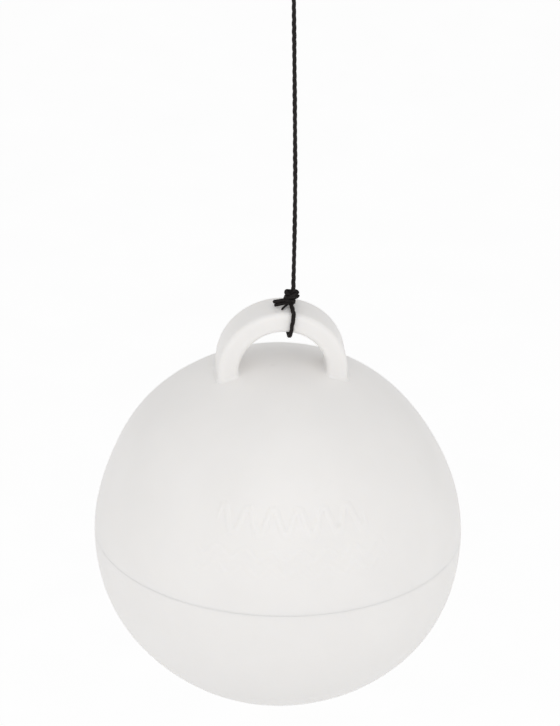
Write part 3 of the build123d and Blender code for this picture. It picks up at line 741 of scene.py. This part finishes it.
def lower_shell(ball):
    """Lower shell, turned from a profile: outer skin, base's round edge, neck, inner skin and lip."""
    inner = BALL_R - ball.wall
    seam_angle = math.degrees(ball.seam / BALL_R)
    base = BASE_DROP / MM
    # The outer skin ends a little above the base's plane, where the edge's round takes over
    base_angle = math.degrees(math.asin((base - 0.45 * BASE_EDGE_R) / (BALL_R / MM - FLATTER_BY)))
    skin = np.concatenate((
        arc_rows(BALL_R, -seam_angle, -seam_angle - RIM_ROW, 2, 1.0),
        arc_rows(BALL_R, -0.7, -base_angle, 90, 1.0),
    ))
    turn = np.radians(np.linspace(-base_angle - 2, -90, 8))
    edge_x = skin[-1, 0] / MM - BASE_EDGE_R * math.cos(math.radians(base_angle))
    edge_z = BASE_EDGE_R - base
    edge = line_rows(0.0, *zip(edge_x + BASE_EDGE_R * np.cos(turn), edge_z + BASE_EDGE_R * np.sin(turn)))
    neck = line_rows(0.0, (NECK_R + NECK_EDGE, -base), (NECK_R, NECK_EDGE - base), (NECK_R, NECK_MIDDLE),
                     (NECK_R, NECK_TOP), (NECK_OUT_R, NECK_TOP), (NECK_OUT_R, NECK_FOOT))
    inside = arc_rows(inner, -math.degrees(math.acos(NECK_OUT_R * MM / inner)), 0, 40)
    lip_r, lip_top = LAP_R - LAP_GAP, LAP_HEIGHT - LAP_GAP
    lip = line_rows(1.0, (inner / MM, lip_top), (lip_r, lip_top), (lip_r, 0.0),
                    ((BALL_R - ball.seam) / MM, 0.0))
    profile = np.concatenate((skin, edge, neck, inside, lip))
    return shell_surface(ball, np.linspace(0, 2 * np.pi, 300, endpoint=False), profile)


def rounded_box_section(half_width, half_depth, back, front, count=12):
    """Outline of a rectangle with round corners: four quarter circles joined by straight sides.

    The corners at the back and at the front have their own radii.
    """
    quarter = np.linspace(0, np.pi / 2, count)
    side = np.linspace(0, 1, 6)[1:-1, None]
    corners = []
    for i, (x, y, radius) in enumerate(((1, 1, back), (-1, 1, back), (-1, -1, front), (1, -1, front))):
        angle = quarter + i * np.pi / 2
        middle = np.array((x * (half_width - radius), y * (half_depth - radius)))
        corners.append(middle + radius * np.stack((np.cos(angle), np.sin(angle)), axis=1))
    points = []
    for corner, following in zip(corners, corners[1:] + corners[:1]):
        points += [corner, corner[-1] * (1 - side) + following[0] * side]
    return np.concatenate(points)


def loop_surface(ball, loop):
    """Half ring on two legs: a rounded rectangle carried up a leg, over the ring and down.

    A point at height h over the ball moves out from the section's middle by a fillet's profile,
    f * (1 - sqrt(1 - (1 - h / f)^2)), so each foot runs smoothly into the ball.
    """
    half_width = (loop.outer - loop.inner) / 2
    middle_r = (loop.outer + loop.inner) / 2
    section = rounded_box_section(half_width, loop.depth / 2, loop.back_edge, loop.front_edge)
    turn = np.linspace(0, np.pi, ARCH_ROWS)
    leg = np.linspace(-LEG_SUNK, 0, LEG_ROWS, endpoint=False)
    ones, zeros = np.ones(LEG_ROWS), np.zeros(LEG_ROWS)
    out_x = np.concatenate((ones, np.cos(turn), -ones))
    out_z = np.concatenate((zeros, np.sin(turn), zeros))
    path_x = middle_r * out_x
    path_z = np.concatenate((leg, middle_r * np.sin(turn), leg[::-1]))
    across, deep = section[:, 0][None, :], section[:, 1][None, :]

    def carried(across, deep):
        x = path_x[:, None] + across * out_x[:, None]
        z = path_z[:, None] + across * out_z[:, None] + loop.centre
        return np.stack((x, deep + 0 * x, z), axis=-1)

    points = carried(across, deep)
    directions = unit_rows(points)
    skin = BALL_R + unevenness(directions, ball.unevenness)
    over = (np.linalg.norm(points, axis=-1) - skin) / loop.fillet
    short = np.clip(1 - over, 0, 1)
    swell = loop.fillet * (1 - np.sqrt(np.clip(1 - short ** 2, 0, 1)))
    outward = unit_rows(section)[None]
    points = carried(across + swell * outward[..., 0], deep + swell * outward[..., 1])
    ends = [np.repeat(points[i].mean(axis=0)[None], len(section), axis=0)[None] for i in (0, -1)]
    return np.concatenate((ends[0], points, ends[1])) + CENTRE


def ring_sector(inner, outer, low, high, middle, span, steps=16):
    """Closed block between two radii and two heights over a span of angle, in mm and degrees."""
    angle = np.radians(np.linspace(middle - span / 2, middle + span / 2, steps))[:, None]
    corners = np.array(((inner, low), (outer, low), (outer, high), (inner, high))) * MM
    radius, height = corners[:, 0][None], corners[:, 1][None]
    points = np.stack((radius * np.cos(angle), radius * np.sin(angle), height + 0 * angle), axis=-1)
    ends = [np.repeat(points[i].mean(axis=0)[None], 4, axis=0)[None] for i in (0, -1)]
    return np.concatenate((ends[0], points, ends[1])) + CENTRE


# ---------------------------------------------------------------- operators


def cad_material(node, material):
    """Gives a CAD node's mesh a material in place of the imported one."""
    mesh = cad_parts[node].data
    mesh.materials.clear()
    mesh.materials.append(material)


class POOL_OT_studio(bpy.types.Operator):
    """Floor, soft lights and camera"""

    bl_idname = "pool.studio"
    bl_label = "Studio"

    def execute(self, context):
        studio = context.scene.pool_studio
        self.add_floor(studio)
        self.add_lights(context)
        self.add_camera(context, studio)
        context.scene.view_settings.view_transform = "Standard"
        return {"FINISHED"}

    def add_floor(self, studio):
        half, low = studio.floor_width / 2, CENTRE_Z - studio.floor_drop
        corners = np.array([(-half, -half, low), (half, -half, low), (half, half, low), (-half, half, low)])
        mesh = bpy.data.meshes.new("floor")
        mesh.from_pydata(corners, [], [(0, 1, 2, 3)])
        mesh.materials.append(lit_floor(studio.floor))
        floor = bpy.data.objects.new("floor", mesh)
        bpy.context.scene.collection.objects.link(floor)

    def add_lights(self, context):
        world = bpy.data.worlds.new("studio air")
        context.scene.world = world
        world.use_nodes = True
        background = world.node_tree.nodes["Background"]
        background.inputs["Color"].default_value = to_linear("#FFFFFF")
        background.inputs["Strength"].default_value = 0.67
        for name, azimuth, elevation, distance, size, watts in (
            ("front softbox", -8, 28, 0.9, 0.6, 0.98),
            ("left softbox", -65, 22, 0.9, 0.6, 0.5),
            ("right softbox", 55, 22, 0.9, 0.6, 0.5),
            ("high softbox", 5, 60, 0.9, 0.6, 0.82),
        ):
            lamp = bpy.data.lights.new(name, "AREA")
            lamp.size = size
            lamp.energy = watts
            place = bpy.data.objects.new(name, lamp)
            a, e = math.radians(azimuth), math.radians(elevation)
            back = Vector((math.sin(a) * math.cos(e), -math.cos(a) * math.cos(e), math.sin(e)))
            place.location = Vector(CENTRE) + back * distance
            place.rotation_mode = "QUATERNION"
            place.rotation_quaternion = (-back).to_track_quat("-Z", "Y")
            context.scene.collection.objects.link(place)

    def add_camera(self, context, studio):
        a, e = studio.azimuth, studio.elevation
        back = Vector((math.sin(a) * math.cos(e), -math.cos(a) * math.cos(e), math.sin(e)))
        aim = Vector(AIM)
        camera = bpy.data.objects.new("camera", bpy.data.cameras.new("camera"))
        camera.data.lens = studio.lens
        camera.data.clip_start, camera.data.clip_end = 0.05, 40.0
        camera.rotation_mode = "QUATERNION"
        camera.location = aim + back * studio.distance
        level = (-back).to_track_quat("-Z", "Y")
        camera.rotation_quaternion = level @ Matrix.Rotation(studio.roll, 3, "Z").to_quaternion()
        context.scene.collection.objects.link(camera)
        context.scene.camera = camera


class POOL_OT_ball(bpy.types.Operator):
    """The two shells of the ball, the hanging loop and the ledges in the neck"""

    bl_idname = "pool.ball"
    bl_label = "Ball and loop"

    def execute(self, context):
        ball, loop = context.scene.pool_ball, context.scene.pool_loop
        skin = polyethylene(ball.colour)
        upper = new_piece("upper_shell_with_loop", [(upper_shell(ball), True, True)], skin, "globe")
        arch = new_piece("loop", [(loop_surface(ball, loop), False, True)], skin, "globe")
        self.join(upper, arch)
        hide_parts("globe_top")
        lower = new_piece("lower_shell", [(lower_shell(ball), True, True)], skin, "globe")
        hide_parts("globe_bottom")
        ledges = []
        for middle in LEDGE_MIDDLES:
            block = ring_sector(LEDGE_IN_R, LEDGE_OUT_R, LEDGE_LOW, LEDGE_HIGH, middle, LEDGE_SPAN)
            ledges.append((block, False, True))
        inner = new_piece("neck_ledges", ledges, skin, "globe", smooth=False)
        return {"FINISHED"}

    def join(self, shell, arch):
        """Makes shell and loop one closed surface, and takes the loop's own object away."""
        union = shell.modifiers.new("union", "BOOLEAN")
        union.operation = "UNION"
        union.solver = "EXACT"
        union.object = arch
        bpy.context.view_layer.update()
        graph = bpy.context.evaluated_depsgraph_get()
        joined = bpy.data.meshes.new_from_object(shell.evaluated_get(graph), depsgraph=graph)
        shell.modifiers.remove(union)
        shell.data = joined
        joined.shade_smooth()
        bpy.data.objects.remove(arch)


class POOL_OT_cord(bpy.types.Operator):
    """The hanging cord, its turn round the loop, the knots, tails and end loop"""

    bl_idname = "pool.cord"
    bl_label = "Cord and knots"

    def execute(self, context):
        cord = context.scene.pool_cord
        yarn = polyester_yarn(cord.colour)
        hang = [(2.15, -0.2, 55.9), (2.25, 0.0, 74.0), (1.75, 0.0, 96.0), (0.8, 0.0, 127.0)]
        sling = [(1.75, -0.9, 54.4), (1.83, -2.8, 53.95), (1.95, -4.25, 53.87), (1.98, -4.92, 53.1),
                 (1.65, -4.92, 51.0), (1.45, -4.92, 48.95), (1.15, -4.3, 48.05), (1.1, -2.6, 48.1),
                 (1.2, 2.6, 48.1), (1.3, 4.2, 48.1), (1.5, 4.92, 49.1), (2.0, 4.92, 53.1),
                 (2.0, 4.25, 53.87), (1.95, 2.8, 53.95), (1.9, 0.4, 54.5)]
        hang_cord, hang_line = self.laid("cord", hang, cord, yarn, (0, 1, 0), "hang_cord")
        turn, _ = self.laid("cord_round_loop", sling, cord, yarn, (1, 0, 0), "cord_sling")
        pieces = [turn, self.knot(cord, yarn), self.tails(yarn), self.end_loop(cord, yarn),
                  self.end_knot(cord, yarn)]
        return {"FINISHED"}

    def place(self, route):
        return [tuple(np.array(p) * MM + CENTRE) for p in route]

    def finish(self, name, surfaces, yarn, node):
        piece = new_piece(name, surfaces, yarn, "cord", row_step=STRAND_STEP)
        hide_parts(node)
        return piece

    def laid(self, name, route, cord, yarn, aside, node):
        surfaces, line = cord_surfaces(spline_points(self.place(route)), cord, aside, looseness=0.12)
        return self.finish(name, surfaces, yarn, node), line

    def knot(self, cord, yarn):
        """Overhand knot drawn tight: a trefoil round the cord over two turns that narrow downwards.

        The trefoil is flattened, leant to the front and scaled until its turns touch. The turns
        under it are a short helix, and a piece of cord across the trefoil fills its openings.
        """
        lean = np.array(Matrix.Rotation(math.radians(24), 3, "X"))
        upper = (trefoil(240, (0.47, 0.36, 0.36)) @ lean.T + (1.74, -0.25, 56.15)) * MM + CENTRE
        turn = np.linspace(0.3, 2.2, 120) * 2 * np.pi
        sink = np.linspace(0, 1, 120)
        lower = np.stack((1.42 + (0.95 - 0.2 * sink) * np.cos(turn), -0.45 + 0.75 * np.sin(turn),
                          55.25 - 1.05 * sink), axis=1) * MM + CENTRE
        core = self.place([(1.7, -0.45, 53.9), (1.72, -0.4, 54.9), (1.95, -0.2, 56.0), (2.05, -0.2, 57.0)])
        across = self.place([(0.75, -0.3, 56.5), (1.5, -0.45, 55.9), (2.4, -0.4, 56.0), (3.05, -0.3, 56.4)])
        surfaces = []
        for line, aside in ((upper, (0, 0, 1)), (lower, (0, 0, 1)), (spline_points(core), (0, 1, 0)),
                            (spline_points(across), (0, 1, 0))):
            surfaces += cord_surfaces(line, cord, aside)[0]
        return self.finish("knot", surfaces, yarn, "cord_knot")

    def tails(self, yarn):
        """The cord's cut end, opened into two fat strands side by side, and one thin frayed strand."""
        upper = self.place([(1.1, -0.7, 55.1), (-0.5, -0.8, 54.95), (-2.25, -0.9, 54.7)])
        lower = self.place([(1.1, -0.9, 54.55), (-0.4, -0.95, 54.3), (-1.95, -1.05, 53.95)])
        frayed = self.place([(1.1, -1.1, 54.35), (0.4, -1.7, 54.2), (-0.45, -2.4, 53.55)])
        surfaces = []
        for route, radius in ((upper, 0.42), (lower, 0.36), (frayed, 0.24)):
            line, where = spaced(spline_points(route), STRAND_STEP / 2 * MM)
            surfaces.append((round_tube(line, rounded_ends(where, radius * MM), (0, 0, 1)), False, True))
        return self.finish("knot_tails", surfaces, yarn, "cord_tails")

    def end_loop(self, cord, yarn):
        side = [(0.3, 128.6), (2.3, 133.0), (2.5, 137.0)]
        top = [(1.4, 139.8), (-1.4, 139.8)]
        route = [(0.8 + x, 0.0, z) for x, z in side + top + [(-x, z) for x, z in reversed(side)]]
        return self.laid("end_loop_of_cord", route, cord, yarn, (0, 1, 0), "end_loop")[0]

    def end_knot(self, cord, yarn):
        line = (trefoil(200, (0.3, 0.3, 0.39)) + (0.8, 0, 128.0)) * MM + CENTRE
        surfaces = cord_surfaces(line, cord, (0, 0, 1))[0]
        return self.finish("end_knot_of_cord", surfaces, yarn, "end_knot")


class POOL_OT_light_unit(bpy.types.Operator):
    """Finishes of the light unit and what it holds"""

    bl_idname = "pool.light_unit"
    bl_label = "Light unit"

    def execute(self, context):
        unit = context.scene.pool_unit
        housing = moulded_abs("moulded ABS", unit.housing)
        white = moulded_abs("moulded white ABS", to_linear("#F2F2EF")[:3], 0.36)
        black = moulded_abs("moulded black nylon", to_linear("#26272A")[:3], 0.46)
        nylon = moulded_abs("moulded natural nylon", to_linear("#DAD6C8")[:3], 0.5)
        seal = silicone(unit.silicone)
        zinc = plated_metal("zinc plated steel", "#C2C5C8", 0.36)
        nickel = plated_metal("nickel plated steel", "#D3D3CF", 0.26)
        brass = plated_metal("nickel plated phosphor bronze", "#CDBE9E", 0.3, 0.25)
        finishes = {
            "base_housing": housing, "lens_ring": housing, "boot_clamp": housing,
            "power_button": moulded_abs("moulded grey ABS", unit.button), "base_seal": seal,
            "button_boot": seal, "lens_seal": seal, "push_switch": black, "switch_plunger": nylon,
            "battery_tray": white, "reflector": white, "ballast_ring": zinc, "board_screws": zinc,
            "cell_lower": nickel, "cell_upper": nickel, "contact_negative": brass,
            "contact_positive": brass, "control_chip": chip_resin(), "remote_receiver": chip_resin(),
            "control_board": circuit_board("green solder resist", "#14532D", "#23713F"),
            "led_board": circuit_board("white solder resist", "#EDEDE8", "#DEDED6"),
            "leds": led_package(), "lens": frosted_lens(), "led_leads": wire_insulation(),
        }
        for node, material in finishes.items():
            cad_material(node, material)
        return {"FINISHED"}


class POOL_PT_panel(bpy.types.Panel):
    """Buttons and settings of the floating pool light"""

    bl_idname = "POOL_PT_panel"
    bl_label = "Floating pool light"
    bl_space_type = "VIEW_3D"
    bl_region_type = "UI"
    bl_category = "Pool light"

    def draw(self, context):
        for operator in OPERATORS:
            self.layout.operator(operator.bl_idname)
        for name in SETTINGS:
            group = getattr(context.scene, name)
            box = self.layout.box()
            for key in group.__annotations__:
                box.prop(group, key)


OPERATORS = (POOL_OT_studio, POOL_OT_cord, POOL_OT_ball, POOL_OT_light_unit)
SETTINGS = {
    "pool_ball": BallSettings,
    "pool_loop": LoopSettings,
    "pool_cord": CordSettings,
    "pool_unit": UnitSettings,
    "pool_studio": StudioSettings,
}


def register():
    for group in (*SETTINGS.values(), *OPERATORS, POOL_PT_panel):
        bpy.utils.register_class(group)
    for name, group in SETTINGS.items():
        setattr(bpy.types.Scene, name, PointerProperty(type=group))


def unregister():
    for name in SETTINGS:
        delattr(bpy.types.Scene, name)
    for group in reversed((*SETTINGS.values(), *OPERATORS, POOL_PT_panel)):
        bpy.utils.unregister_class(group)


def main():
    register()
    bpy.ops.pool.studio()
    bpy.ops.pool.cord()
    bpy.ops.pool.ball()
    bpy.ops.pool.light_unit()


if __name__ == "__main__":
    main()
